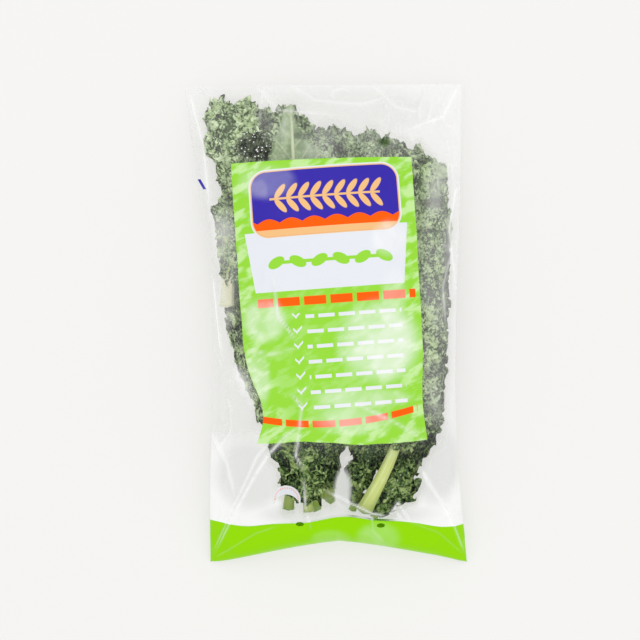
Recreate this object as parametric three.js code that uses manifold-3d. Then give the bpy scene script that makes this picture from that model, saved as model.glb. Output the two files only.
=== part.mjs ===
// A bunch of curly kale as sold: loose leaves with their cut stalks together at
// one end, held in a clear film bag that lies on its back. Millimetres, +Z up.
// The origin is on the surface under the middle of the bag, +Y runs from the
// stalk ends to the bag's open mouth, and +X is to the right as seen from above.
import * as THREE from "three";
import { mergeVertices } from "three/addons/utils/BufferGeometryUtils.js";
import Module from "manifold-3d";

// The bag. Its sides are pulled in at the waist, where the bunch fills it.
const FILM = 0.8;
const HEM = 1.2;
const FULL_DEPTH = 66;
const BOTTOM_END = -204;
const TOP_END = 204.5;
const BOTTOM_ARCH = 18;
const SEAM_RISE = 12;
const SEAM_SHARE = 0.008;
const FLAT_SHARE = 0.5;

// The bag's skin is a grid, closer together near both ends.
const BAG_ACROSS = 14;
const BAG_ALONG = 24;
const END_CROWDING = 0.115;

// Two vent holes punched through the front film near the bottom seam.
const VENTS = [
  [-22, -169],
  [46, -170],
];
const VENT_WIDTH = 6;
const VENT_HEIGHT = 3.4;

// The leaves. A blade is half a LEAF thick each way, and stalks keep clear.
const LEAF = 1.3;
const CLEAR = 0.5;
const BAG_CLEAR = 1.4;
const BLADE_ROWS = 30;
const BLADE_COLUMNS = 3;
const STALK_ROWS = 14;
const STALK_SIDES = 6;
const FRILL = 0.085;
const STALK_END = 0.8;

// A smooth curve through [key, value] pairs, level past its ends.
function curve(keys) {
  const last = keys.length - 1;
  const slope = (k) => {
    const before = keys[Math.max(k - 1, 0)];
    const after = keys[Math.min(k + 1, last)];
    return (after[1] - before[1]) / (after[0] - before[0]);
  };
  return (t) => {
    let i = 0;
    while (i < last - 1 && t > keys[i + 1][0]) i++;
    const [t0, y0] = keys[i];
    const [t1, y1] = keys[i + 1];
    const span = t1 - t0;
    const f = Math.min(Math.max((t - t0) / span, 0), 1);
    const g = 1 - f;
    return (
      g * g * (1 + 2 * f) * y0 +
      f * f * (1 + 2 * g) * y1 +
      f * g * g * span * slope(i) -
      f * f * g * span * slope(i + 1)
    );
  };
}

function smooth(low, high, t) {
  const f = Math.min(Math.max((t - low) / (high - low), 0), 1);
  return f * f * (3 - 2 * f);
}

// u runs across the bag from -1 to 1, and v along it from 0 at the seam to 1.
const leftEdge = curve([
  [0, -99.5],
  [0.17, -99],
  [0.33, -97],
  [0.55, -97.5],
  [0.78, -109],
  [1, -121.5],
]);
const rightEdge = curve([
  [0, 121.5],
  [0.17, 114],
  [0.33, 110.5],
  [0.55, 111.5],
  [0.78, 115],
  [1, 117.5],
]);
const sideHeight = curve([
  [0, 1.6],
  [0.1, 12],
  [0.3, 21],
  [0.5, 23],
  [0.7, 20],
  [0.9, 9],
  [1, 4],
]);
// How full the bag is, as a share of its full depth.
const mouthward = curve([
  [0.5, 1],
  [0.7, 0.97],
  [0.84, 0.78],
  [0.92, 0.52],
  [0.97, 0.26],
  [1, 0.12],
]);

function fullness(v) {
  const closing = 1 - Math.max(1 - v / 0.3, 0) ** 2.1;
  return Math.max(closing, 0) ** (1 / 2.1) * (v > 0.5 ? mouthward(v) : 1);
}

// Soft swells where bundles of leaves push the front film out.
function swell(u, v) {
  return (
    1 +
    0.05 * Math.sin(5.1 * u + 1.3) * Math.sin(9 * v + 0.4) +
    0.035 * Math.sin(3.3 * u + 11 * v)
  );
}

function across(u) {
  return Math.cos((Math.PI * u) / 2);
}

function bottomEdge(u) {
  return BOTTOM_END + BOTTOM_ARCH * across(u) ** 2 + 2 * u;
}

function topEdge(u) {
  return TOP_END + 1.5 * u;
}

function backHeight(u, v) {
  const lift = Math.max((Math.abs(u) - FLAT_SHARE) / (1 - FLAT_SHARE), 0) ** 2.4;
  const seam = SEAM_RISE * across(u) ** 2 * (1 - smooth(0, 0.07, v));
  return (sideHeight(v) - HEM) * lift + seam;
}

function frontHeight(u, v) {
  const bulge = FULL_DEPTH * fullness(v) * Math.max(across(u), 0) ** 0.9;
  return backHeight(u, v) + 2 * HEM + bulge * swell(u, v);
}

// A point on the bag, inset from its outer skin. The front faces up.
function bagPoint(u, v, front, inset) {
  const middle = (rightEdge(v) + leftEdge(v)) / 2;
  const half = (rightEdge(v) - leftEdge(v)) / 2;
  const end = inset * (1 - smooth(0, 0.2, v));
  return new THREE.Vector3(
    middle + (half - inset) * Math.sin((Math.PI * u) / 2),
    bottomEdge(u) + (topEdge(u) - bottomEdge(u)) * v + end,
    front ? frontHeight(u, v) - inset : backHeight(u, v) + inset,
  );
}

// The lowest and highest height inside the bag over a place on the surface.
function room(x, y) {
  let u = 0;
  let v = 0.5;
  for (let i = 0; i < 8; i++) {
    v = (y - bottomEdge(u)) / (topEdge(u) - bottomEdge(u));
    v = Math.min(Math.max(v, 0), 1);
    const middle = (rightEdge(v) + leftEdge(v)) / 2;
    const half = (rightEdge(v) - leftEdge(v)) / 2 - FILM;
    const share = Math.min(Math.max((x - middle) / half, -0.995), 0.995);
    u = (Math.asin(share) * 2) / Math.PI;
  }
  return [
    backHeight(u, v) + FILM + BAG_CLEAR,
    frontHeight(u, v) - FILM - BAG_CLEAR,
  ];
}

// Leaf tips that would reach past the bag's side are tucked in against it.
function tucked(x, y) {
  const v = Math.min(Math.max((y - BOTTOM_END) / (TOP_END - BOTTOM_END), 0), 1);
  const middle = (rightEdge(v) + leftEdge(v)) / 2;
  const half = (rightEdge(v) - leftEdge(v)) / 2 - 5;
  const share = Math.abs(x - middle) / half;
  const free = 0.82;
  const held = share < free ? share : 1 - (1 - free) * Math.exp((free - share) / (1 - free));
  return middle + Math.sign(x - middle) * half * held;
}

// A closed surface gathered point by point, as triangles.
class Skin {
  points = [];
  faces = [];

  point(p) {
    this.points.push(p);
    return this.points.length - 1;
  }

  quad(a, b, c, d) {
    this.faces.push([a, b, c], [a, c, d]);
  }

  // Quads between two rows of points, closing the ring if it is one.
  band(first, second, ring) {
    const count = ring ? first.length : first.length - 1;
    for (let j = 0; j < count; j++) {
      const k = (j + 1) % first.length;
      this.quad(first[j], first[k], second[k], second[j]);
    }
  }

  volume() {
    const p = this.points;
    return this.faces.reduce(
      (sum, [a, b, c]) => sum + p[a].dot(p[b].clone().cross(p[c])) / 6,
      0,
    );
  }

  geometry() {
    const outward = this.volume() > 0;
    const faces = this.faces.map(([a, b, c]) => (outward ? [a, b, c] : [a, c, b]));
    const geometry = new THREE.BufferGeometry().setFromPoints(this.points);
    geometry.setIndex(faces.flat());
    geometry.computeVertexNormals();
    return geometry;
  }
}

const range = (count) => [...Array(count).keys()];

// The bag's skin: an outer and an inner wall, joined in a rim round the open
// mouth and closed at the bottom by the solid strip of the seam.
function bagSkin() {
  const skin = new Skin();
  const columns = range(BAG_ACROSS + 1).map((i) => (2 * i) / BAG_ACROSS - 1);
  const rows = range(BAG_ALONG + 1).map((j) => {
    const t = j / BAG_ALONG;
    return j === 1 ? SEAM_SHARE : t - END_CROWDING * Math.sin(2 * Math.PI * t);
  });
  const ring = (v, inset) =>
    [
      ...columns.map((u) => bagPoint(u, v, true, inset)),
      ...columns.toReversed().map((u) => bagPoint(u, v, false, inset)),
    ].map((p) => skin.point(p));
  const outer = rows.map((v) => ring(v, 0));
  const inner = rows.slice(1).map((v) => ring(v, FILM));
  outer.slice(1).forEach((r, j) => skin.band(outer[j], r, true));
  inner.slice(1).forEach((r, j) => skin.band(r, inner[j], true));
  skin.band(outer.at(-1), inner.at(-1), true);
  const seal = (r, outward) => {
    const front = r.slice(0, BAG_ACROSS + 1);
    const back = r.slice(BAG_ACROSS + 1).reverse();
    if (outward) skin.band(back, front, false);
    else skin.band(front, back, false);
  };
  seal(outer[0], true);
  seal(inner[0], false);
  return skin.geometry();
}

// How wide a blade is along its midrib, as a share of its half-width: narrow at
// the stalk, widest two thirds of the way up, with lobes and a round tip.
function outline(s, side, base, phase) {
  const rise = base + (1 - base) * smooth(0, 0.5, s);
  const tip = Math.sqrt(1 - Math.max((s - 0.6) / 0.405, 0) ** 2.8);
  const lobes = 1 - 0.1 * (1 + Math.cos(2 * Math.PI * (4.5 * s + phase + 0.3 * side)));
  const teeth = 1 + 0.08 * Math.sin(2 * Math.PI * (13 * s + 2 * phase));
  return rise * tip * lobes * teeth * smooth(-0.08, 0.06, s);
}

// How far the blade waves up or down, from -1 to 1: still at the midrib, cupped
// away from the stalk beside it, and frilled towards the margin.
function frill(s, t, phase) {
  const side = Math.sign(t) || 1;
  const reach = Math.abs(t);
  const broad = Math.sin(2 * Math.PI * (5 * s + phase + 0.37 * side));
  const fine = Math.sin(2 * Math.PI * (11.5 * s + 1.7 * phase + 0.21 * side));
  const margin = reach ** 1.6 * (0.45 * broad + 0.55 * fine) * smooth(0, 0.2, s);
  return reach * (1 - reach) + margin;
}

// Rows across a blade are closer together towards its round tip.
function tipward(f) {
  return f + 0.12 * Math.sin(Math.PI * f);
}

// One leaf: its midrib from the cut end to the tip, how high it lies in the bag
// as a share of the room there, and where the blade starts on the stalk.
class Leaf {
  constructor({ path, level, halfWidth, bare, base, stalk, rows, turned, phase }) {
    const along = path.map((p, i) => i / (path.length - 1));
    this.x = curve(path.map((p, i) => [along[i], p[0]]));
    this.y = curve(path.map((p, i) => [along[i], p[1]]));
    this.level = curve(level.map((h, i) => [i / (level.length - 1), h]));
    this.halfWidth = halfWidth;
    this.bare = bare;
    this.base = base;
    this.stalk = stalk;
    this.rows = rows ?? BLADE_ROWS;
    this.away = turned ? -1 : 1;
    this.phase = phase;
  }

  outline(share, side) {
    return outline(share, side, this.base, this.phase);
  }

  // The way the midrib runs, as seen from above.
  heading(s) {
    const step = 0.004;
    const a = Math.max(s - step, 0);
    const b = Math.min(s + step, 1);
    return new THREE.Vector2(this.x(b) - this.x(a), this.y(b) - this.y(a)).normalize();
  }

  // The height at a place on the surface, for a level in the room there.
  height(x, y, level) {
    const [low, high] = room(x, y);
    return low + (high - low) * level;
  }

  // A point in the middle of the blade's thickness.
  bladePoint(share, t) {
    const s = this.bare + (1 - this.bare) * share;
    const width = this.halfWidth[t < 0 ? 0 : 1] * this.outline(share, Math.sign(t));
    const sweep = 0.2 + 0.5 * share ** 3;
    const h = this.heading(s);
    const out = new THREE.Vector2(h.y, -h.x).multiplyScalar(Math.cos(sweep) * t * width);
    out.addScaledVector(h, Math.sin(sweep) * Math.abs(t) * width);
    const y = this.y(s) + out.y;
    const x = tucked(this.x(s) + out.x, y);
    const wave = FRILL * this.away * frill(share, t, this.phase);
    return new THREE.Vector3(x, y, this.height(x, y, this.level(s) + wave));
  }

  bladeGeometry() {
    const skin = new Skin();
    const columns = range(2 * BLADE_COLUMNS + 1).map((j) => j / BLADE_COLUMNS - 1);
    const face = (lift) =>
      range(this.rows + 1).map((i) =>
        columns.map((t) => {
          const p = this.bladePoint(tipward(i / this.rows), t);
          p.z += lift;
          return skin.point(p);
        }),
      );
    const top = face(LEAF / 2);
    const bottom = face(-LEAF / 2);
    for (let i = 0; i < this.rows; i++) {
      skin.band(top[i], top[i + 1], false);
      bottom[i].slice(1).forEach((b, j) => {
        const a = bottom[i][j];
        const c = bottom[i + 1][j + 1];
        const d = bottom[i + 1][j];
        skin.faces.push([a, c, b], [a, d, c]);
      });
    }
    const column = (rows, j) => rows.map((r) => r.at(j));
    skin.band(bottom[0], top[0], false);
    skin.band(top.at(-1), bottom.at(-1), false);
    skin.band(column(top, 0), column(bottom, 0), false);
    skin.band(column(bottom, -1), column(top, -1), false);
    return skin.geometry();
  }

  // The stalk and midrib: oval, tapering, on the blade's underside.
  stalkGeometry() {
    const skin = new Skin();
    const end = this.bare + (1 - this.bare) * STALK_END;
    const rings = range(STALK_ROWS + 1).map((i) => {
      const s = (end * i) / STALK_ROWS;
      const half = this.stalk * (0.5 - 0.36 * (i / STALK_ROWS) ** 0.8);
      const h = this.heading(s);
      return range(STALK_SIDES).map((k) => {
        const angle = (2 * Math.PI * (k + 0.5)) / STALK_SIDES;
        const x = this.x(s) + h.y * half * Math.cos(angle);
        const y = this.y(s) - h.x * half * Math.cos(angle);
        const drop = LEAF / 2 + CLEAR + 0.72 * half * (1 - Math.sin(angle));
        const z = this.height(x, y, this.level(s)) - this.away * drop;
        return skin.point(new THREE.Vector3(x, y, z));
      });
    });
    rings.slice(1).forEach((r, i) => skin.band(rings[i], r, true));
    const cap = (ring, first) => {
      for (let k = 1; k < STALK_SIDES - 1; k++) {
        const face = [ring[0], ring[k], ring[k + 1]];
        skin.faces.push(first ? face : face.toReversed());
      }
    };
    cap(rings[0], false);
    cap(rings.at(-1), true);
    return skin.geometry();
  }
}

// The leaves, from the front of the bag to its back. The first four lie against
// the front film, the next four behind them, then two more layers of three.
const LEAVES = [
  {
    path: [[-81, 22], [-85, 80], [-85, 138], [-82, 190]],
    level: [0.85, 0.87, 0.86],
    halfWidth: [27, 30],
    bare: 0.06,
    base: 0.4,
    stalk: 12,
    phase: 0.11,
  },
  {
    path: [[-6, -58], [-15, 16], [-24, 88], [-30, 184]],
    level: [0.8, 0.87, 0.86],
    halfWidth: [27, 38],
    bare: 0.06,
    base: 0.3,
    stalk: 10,
    turned: true,
    phase: 0.52,
  },
  {
    path: [[31, -161], [62, -90], [74, 10], [81, 136]],
    level: [0.86, 0.88, 0.86],
    halfWidth: [40, 50],
    bare: 0.27,
    base: 0.3,
    stalk: 13,
    phase: 0.83,
  },
  {
    path: [[-14, -160], [-18, -136], [-20, -108], [-22, -70]],
    level: [0.85, 0.87, 0.86],
    halfWidth: [20, 24],
    bare: 0.1,
    base: 0.6,
    stalk: 9,
    rows: 14,
    phase: 0.44,
  },
  {
    path: [[-10, -161], [1, -50], [16, 60], [25, 162]],
    level: [0.56, 0.62, 0.62],
    halfWidth: [30, 50],
    bare: 0.06,
    base: 0.3,
    stalk: 10,
    phase: 0.27,
  },
  {
    path: [[-32, -160], [-30, -108], [-48, -48], [-66, 8]],
    level: [0.56, 0.62, 0.62],
    halfWidth: [18, 14],
    bare: 0.08,
    base: 0.4,
    stalk: 9,
    rows: 20,
    phase: 0.68,
  },
  {
    path: [[40, -166], [50, -151], [60, -135], [69, -114]],
    level: [0.6, 0.62, 0.62],
    halfWidth: [13, 18],
    bare: 0.08,
    base: 0.55,
    stalk: 6,
    rows: 12,
    phase: 0.4,
  },
  {
    path: [[22, -160], [32, -128], [42, -92], [50, -36]],
    level: [0.6, 0.62, 0.62],
    halfWidth: [19, 13],
    bare: 0.08,
    base: 0.4,
    stalk: 6,
    rows: 16,
    phase: 0.9,
  },
  {
    path: [[46, -150], [68, -85], [78, 0], [69, 150]],
    level: [0.42, 0.37, 0.37],
    halfWidth: [40, 48],
    bare: 0.1,
    base: 0.3,
    stalk: 9,
    phase: 0.95,
  },
  {
    path: [[2, -152], [-10, -50], [-10, 60], [0, 170]],
    level: [0.4, 0.37, 0.37],
    halfWidth: [40, 42],
    bare: 0.1,
    base: 0.3,
    stalk: 9,
    phase: 0.16,
  },
  {
    path: [[-24, -148], [-48, -70], [-78, 30], [-86, 122]],
    level: [0.42, 0.37, 0.37],
    halfWidth: [14, 22],
    bare: 0.12,
    base: 0.3,
    stalk: 8,
    phase: 0.59,
  },
  {
    path: [[-6, -154], [-36, -60], [-60, 40], [-56, 190]],
    level: [0.16, 0.12, 0.12],
    halfWidth: [36, 34],
    bare: 0.12,
    base: 0.3,
    stalk: 8,
    phase: 0.35,
  },
  {
    path: [[4, -156], [2, -50], [12, 60], [38, 160]],
    level: [0.16, 0.12, 0.12],
    halfWidth: [24, 26],
    bare: 0.1,
    base: 0.3,
    stalk: 8,
    phase: 0.77,
  },
  {
    path: [[56, -146], [70, -50], [76, 50], [74, 142]],
    level: [0.18, 0.12, 0.12],
    halfWidth: [26, 32],
    bare: 0.12,
    base: 0.3,
    stalk: 8,
    phase: 0.04,
  },
];

const wasm = await Module();
wasm.setup();

function solidOf(geometry) {
  const plain = geometry.clone();
  plain.deleteAttribute("normal");
  plain.deleteAttribute("uv");
  const merged = mergeVertices(plain, 1e-4);
  return new wasm.Manifold(
    new wasm.Mesh({
      numProp: 3,
      vertProperties: merged.attributes.position.array,
      triVerts: merged.index.array,
    }),
  );
}

function geometryOf(solid) {
  const mesh = solid.getMesh();
  const geometry = new THREE.BufferGeometry();
  geometry.setAttribute("position", new THREE.BufferAttribute(mesh.vertProperties, 3));
  geometry.setIndex(new THREE.BufferAttribute(mesh.triVerts, 1));
  geometry.computeVertexNormals();
  return geometry;
}

// The bag with its vent holes, which go through the front film alone.
function bagGeometry() {
  let bag = solidOf(bagSkin());
  for (const [x, y] of VENTS) {
    const [low, high] = room(x, y);
    const punch = new THREE.CylinderGeometry(0.5, 0.5, 40, 10);
    punch.rotateX(Math.PI / 2).scale(VENT_WIDTH, VENT_HEIGHT, 1);
    punch.translate(x, y, (low + high) / 2 + 20);
    bag = bag.subtract(solidOf(punch));
  }
  return geometryOf(bag);
}

const filmMaterial = new THREE.MeshStandardMaterial({
  color: 0xf1f3f0,
  roughness: 0.15,
  transparent: true,
  opacity: 0.3,
});
const bladeMaterial = new THREE.MeshStandardMaterial({ color: 0x3f6a38, roughness: 0.6 });
const stalkMaterial = new THREE.MeshStandardMaterial({ color: 0xc5d084, roughness: 0.5 });

function named(name, geometry, material) {
  const mesh = new THREE.Mesh(geometry, material);
  mesh.name = name;
  return mesh;
}

const bunch = new THREE.Group();
bunch.add(named("film_bag", bagGeometry(), filmMaterial));
LEAVES.forEach((settings, i) => {
  const leaf = new Leaf(settings);
  const name = `leaf_${String(i + 1).padStart(2, "0")}`;
  bunch.add(named(`${name}_blade`, leaf.bladeGeometry(), bladeMaterial));
  bunch.add(named(`${name}_stalk`, leaf.stalkGeometry(), stalkMaterial));
});

export default bunch;
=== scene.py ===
"""Dresses a bunch of curly kale in its clear printed film bag.

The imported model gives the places: leaves in four layers between the front and the
back film of a pillow-shaped bag that lies on its back. Each leaf gets its fine curls,
veins and ribbed stalk, and the bag gets its creases, its gloss and its printing.
Shapes are worked out in millimetres and written to the meshes in metres.
"""

import math

import bpy
import numpy as np
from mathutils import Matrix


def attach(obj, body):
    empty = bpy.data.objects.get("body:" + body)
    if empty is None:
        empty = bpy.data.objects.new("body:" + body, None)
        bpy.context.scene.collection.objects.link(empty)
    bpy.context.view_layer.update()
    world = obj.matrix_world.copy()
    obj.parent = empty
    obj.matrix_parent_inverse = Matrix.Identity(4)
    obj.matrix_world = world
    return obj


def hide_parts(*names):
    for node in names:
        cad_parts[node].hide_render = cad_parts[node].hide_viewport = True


bl_info = {
    "name": "Bagged Kale Bunch",
    "version": (1, 0, 0),
    "blender": (4, 5, 0),
    "location": "View3D > Sidebar > Kale",
    "description": "Dresses a bunch of curly kale in a clear printed film bag",
    "category": "Add Mesh",
}

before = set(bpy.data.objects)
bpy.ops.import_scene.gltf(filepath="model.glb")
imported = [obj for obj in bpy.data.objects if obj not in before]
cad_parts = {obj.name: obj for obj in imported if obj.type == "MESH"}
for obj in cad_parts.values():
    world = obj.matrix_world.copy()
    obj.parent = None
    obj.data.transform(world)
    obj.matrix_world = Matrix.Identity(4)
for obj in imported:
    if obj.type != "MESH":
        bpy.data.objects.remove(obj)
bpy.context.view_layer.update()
MM = 0.001
MERGE = 2e-5

# The bag's walls and the room that they leave, as in the solid model.
FILM = 0.8
HEM = 1.2
FULL_DEPTH = 66
BOTTOM_END = -204
TOP_END = 204.5
BOTTOM_ARCH = 18
SEAM_RISE = 12
FLAT_SHARE = 0.5
BAG_CLEAR = 1.4
VENTS = [(-22, -169), (46, -170)]

# The share of the creased film's columns that its front takes.
FRONT_COLUMNS = 0.65

# The leaves' blade thickness, and their broad waves as a share of the bag's height.
LEAF = 1.3
FRILL = 0.085


def srgb(red, green, blue):
    """The linear colour of a colour given as it looks, from 0 to 255."""

    def linear(value):
        value /= 255
        return value / 12.92 if value <= 0.04045 else ((value + 0.055) / 1.055) ** 2.4

    return linear(red), linear(green), linear(blue)


def curve(keys):
    """A smooth curve through (key, value) pairs, level past its ends."""
    x, y = np.array(keys, float).T
    last = len(keys) - 1
    after = np.minimum(np.arange(last + 1) + 1, last)
    before = np.maximum(np.arange(last + 1) - 1, 0)
    slope = (y[after] - y[before]) / (x[after] - x[before])

    def value(t):
        t = np.asarray(t, float)
        i = np.clip(np.searchsorted(x, t, side="left") - 1, 0, last - 1)
        span = x[i + 1] - x[i]
        f = np.clip((t - x[i]) / span, 0, 1)
        g = 1 - f
        return (
            g * g * (1 + 2 * f) * y[i]
            + f * f * (1 + 2 * g) * y[i + 1]
            + f * g * g * span * slope[i]
            - f * f * g * span * slope[i + 1]
        )

    return value


def smooth(low, high, t):
    f = np.clip((t - low) / (high - low), 0, 1)
    return f * f * (3 - 2 * f)


def lattice(i, j, seed):
    """A repeatable random number from -1 to 1 for each whole place."""
    word = 0xFFFFFFFF
    h = i.astype(np.int64) * 374761393 + j.astype(np.int64) * 668265263 + seed * 974634777
    h = h & word
    h = ((h ^ (h >> 13)) * 1274126177) & word
    h = ((h ^ (h >> 16)) * 2246822519) & word
    return ((h ^ (h >> 15)) & 0xFFFF) / 32767.5 - 1


def noise(x, y, seed=0):
    """Smooth noise from -1 to 1 whose features are about one unit wide."""
    x, y = np.broadcast_arrays(np.asarray(x, float), np.asarray(y, float))
    i, j = np.floor(x), np.floor(y)
    f, g = x - i, y - j
    f = f * f * f * (f * (6 * f - 15) + 10)
    g = g * g * g * (g * (6 * g - 15) + 10)
    low = lattice(i, j, seed) * (1 - f) + lattice(i + 1, j, seed) * f
    high = lattice(i, j + 1, seed) * (1 - f) + lattice(i + 1, j + 1, seed) * f
    return low * (1 - g) + high * g


def ridges(x, y, seed=0):
    """Sharp wandering crests at 1, falling to 0 in the hollows between them."""
    return (1 - np.minimum(np.abs(noise(x, y, seed)) * 1.7, 1)) ** 1.5


left_edge = curve(
    [(0, -99.5), (0.17, -99), (0.33, -97), (0.55, -97.5), (0.78, -109), (1, -121.5)]
)
right_edge = curve(
    [(0, 121.5), (0.17, 114), (0.33, 110.5), (0.55, 111.5), (0.78, 115), (1, 117.5)]
)
side_height = curve([(0, 1.6), (0.1, 12), (0.3, 21), (0.5, 23), (0.7, 20), (0.9, 9), (1, 4)])
mouthward = curve([(0.5, 1), (0.7, 0.97), (0.84, 0.78), (0.92, 0.52), (0.97, 0.26), (1, 0.12)])


def span(v, inset=0):
    """The middle of the bag and its half width, less an inset."""
    left, right = left_edge(v), right_edge(v)
    return (right + left) / 2, (right - left) / 2 - inset


def across(u):
    """1 in the middle of the bag, falling to 0 at its sides."""
    return np.cos(np.pi * u / 2)


def fullness(v):
    """How far the bag is filled out, from its seam to its mouth."""
    closing = 1 - np.maximum(1 - v / 0.3, 0) ** 2.1
    return np.maximum(closing, 0) ** (1 / 2.1) * np.where(v > 0.5, mouthward(v), 1)


def swell(u, v):
    """Broad swells of the front where leaves press on it."""
    return (
        1
        + 0.05 * np.sin(5.1 * u + 1.3) * np.sin(9 * v + 0.4)
        + 0.035 * np.sin(3.3 * u + 11 * v)
    )


def bottom_edge(u):
    return BOTTOM_END + BOTTOM_ARCH * across(u) ** 2 + 2 * u


def top_edge(u):
    return TOP_END + 1.5 * u


def back_height(u, v):
    lift = np.maximum((np.abs(u) - FLAT_SHARE) / (1 - FLAT_SHARE), 0) ** 2.4
    seam = SEAM_RISE * across(u) ** 2 * (1 - smooth(0, 0.07, v))
    return (side_height(v) - HEM) * lift + seam


def front_height(u, v):
    bulge = FULL_DEPTH * fullness(v) * np.maximum(across(u), 0) ** 0.9
    return back_height(u, v) + 2 * HEM + bulge * swell(u, v)


def bag_place(x, y):
    """Where on the bag a place on the surface is: across it, and along it."""
    u = np.zeros_like(x)
    for _ in range(6):
        v = np.clip((y - bottom_edge(u)) / (top_edge(u) - bottom_edge(u)), 0, 1)
        middle, half = span(v, FILM)
        u = np.arcsin(np.clip((x - middle) / half, -0.995, 0.995)) * 2 / np.pi
    return u, v


def room(x, y):
    """The lowest and highest height inside the bag over a place."""
    u, v = bag_place(x, y)
    return back_height(u, v) + FILM + BAG_CLEAR, front_height(u, v) - FILM - BAG_CLEAR


def tucked(x, y):
    """Leaf tips that would reach past the bag's side, held in against it."""
    v = np.clip((y - BOTTOM_END) / (TOP_END - BOTTOM_END), 0, 1)
    middle, half = span(v, 5)
    share = np.abs(x - middle) / half
    free = 0.82
    held = np.where(
        share < free, share, 1 - (1 - free) * np.exp(np.minimum((free - share) / (1 - free), 0))
    )
    return middle + np.sign(x - middle) * half * held


class Leaf:
    """One leaf of the bunch, from the numbers of its solid."""

    def __init__(self, number, path, level, half_width, bare, base, stalk, phase):
        keys = np.linspace(0, 1, len(path))
        self.number = number
        self.label = f"{number:02d}"
        self.x = curve([(k, p[0]) for k, p in zip(keys, path)])
        self.y = curve([(k, p[1]) for k, p in zip(keys, path)])
        self.level = curve([(k, h) for k, h in zip(np.linspace(0, 1, len(level)), level)])
        self.half_width = half_width
        self.bare = bare
        self.base = base
        self.stalk = stalk
        self.turned = number in TURNED
        self.away = -1 if self.turned else 1
        self.phase = phase
        self.spread = SPREAD.get(number, USUAL_SPREAD)
        self.small = number in SMALL_LEAVES
        self.detail = SMALL_DETAIL if self.small else 1
        if number > SHOWN_LEAVES:
            self.detail = HIDDEN_DETAIL
        fine = np.linspace(0, 1, 200)
        length = np.hypot(np.diff(self.x(fine)), np.diff(self.y(fine))).sum()
        self.blade_length = length * (1 - bare)

    def heading(self, s):
        """The way that the midrib runs, as a step of length 1."""
        a, b = np.maximum(s - 0.004, 0), np.minimum(s + 0.004, 1)
        dx, dy = self.x(b) - self.x(a), self.y(b) - self.y(a)
        size = np.hypot(dx, dy)
        return dx / size, dy / size

    def outline(self, s, side):
        """The share of the half width that the blade has along its midrib."""
        rise = self.base + (1 - self.base) * smooth(0, 0.5, s)
        tip = np.sqrt(1 - np.maximum((s - 0.6) / 0.405, 0) ** 2.8)
        lobes = 1 - 0.1 * (1 + np.cos(2 * np.pi * (4.5 * s + self.phase + 0.3 * side)))
        return rise * tip * lobes * smooth(-0.08, 0.06, s)

    def frill(self, s, t):
        """How far the broad waves lift the blade, greatest at its margin."""
        side = np.where(t < 0, -1, 1)
        reach = np.abs(t)
        broad = np.sin(2 * np.pi * (5 * s + self.phase + 0.37 * side))
        fine = np.sin(2 * np.pi * (11.5 * s + 1.7 * self.phase + 0.21 * side))
        margin = reach**1.6 * (0.45 * broad + 0.55 * fine) * smooth(0, 0.2, s)
        return reach * (1 - reach) + margin


# The leaves from the front to the back, a row each: the midrib's points from the stalk's
# end to the tip, its height between the films from 0 to 1, the blade's half width on
# either side, the share of the length that is bare stalk, the share of the width that
# the blade starts with, the stalk's width, and the phase of the waves.
LEAVES = [
    ([(-81, 22), (-85, 80), (-85, 138), (-82, 190)], (0.85, 0.87, 0.86), (27, 30), 0.06, 0.4, 12, 0.11),
    ([(-6, -58), (-15, 16), (-24, 88), (-30, 184)], (0.8, 0.87, 0.86), (27, 38), 0.06, 0.3, 10, 0.52),
    ([(31, -161), (62, -90), (74, 10), (81, 136)], (0.86, 0.88, 0.86), (40, 50), 0.27, 0.3, 13, 0.83),
    ([(-14, -160), (-18, -136), (-20, -108), (-22, -70)], (0.85, 0.87, 0.86), (20, 24), 0.1, 0.6, 9, 0.44),
    ([(-10, -161), (1, -50), (16, 60), (25, 162)], (0.56, 0.62, 0.62), (30, 50), 0.06, 0.3, 10, 0.27),
    ([(-32, -160), (-30, -108), (-48, -48), (-66, 8)], (0.56, 0.62, 0.62), (18, 14), 0.08, 0.4, 9, 0.68),
    ([(40, -166), (50, -151), (60, -135), (69, -114)], (0.6, 0.62, 0.62), (13, 18), 0.08, 0.55, 6, 0.4),
    ([(22, -160), (32, -128), (42, -92), (50, -36)], (0.6, 0.62, 0.62), (19, 13), 0.08, 0.4, 6, 0.9),
    ([(46, -150), (68, -85), (78, 0), (69, 150)], (0.42, 0.37, 0.37), (40, 48), 0.1, 0.3, 9, 0.95),
    ([(2, -152), (-10, -50), (-10, 60), (0, 170)], (0.4, 0.37, 0.37), (40, 42), 0.1, 0.3, 9, 0.16),
    ([(-24, -148), (-48, -70), (-78, 30), (-86, 122)], (0.42, 0.37, 0.37), (14, 22), 0.12, 0.3, 8, 0.59),
    ([(-6, -154), (-36, -60), (-60, 40), (-56, 190)], (0.16, 0.12, 0.12), (36, 34), 0.12, 0.3, 8, 0.35),
    ([(4, -156), (2, -50), (12, 60), (38, 160)], (0.16, 0.12, 0.12), (24, 26), 0.1, 0.3, 8, 0.77),
    ([(56, -146), (70, -50), (76, 50), (74, 142)], (0.18, 0.12, 0.12), (26, 32), 0.12, 0.3, 8, 0.04),
]

# The leaf that lies with its underside up.
TURNED = (2,)

# How far the curls reach past the edge of a leaf's solid, where it is not the usual.
SPREAD = {1: 8.5, 3: 8, 4: 2, 6: 2, 7: 2, 8: 2, 9: 8, 14: 8}
USUAL_SPREAD = 4.5

# The small leaves at the bottom have a finer mesh, and higher curls further apart. The
# leaves behind the first eight hardly show, and have a coarser mesh.
SMALL_LEAVES = (4, 6, 7, 8)
SMALL_DETAIL, SMALL_CURL, SMALL_CELL = 0.72, 1.3, 1.35
SHOWN_LEAVES = 8
HIDDEN_DETAIL = 1.7

# How far along its midrib a blade reaches, with its tip curled back.
TIP = 0.985

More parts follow.
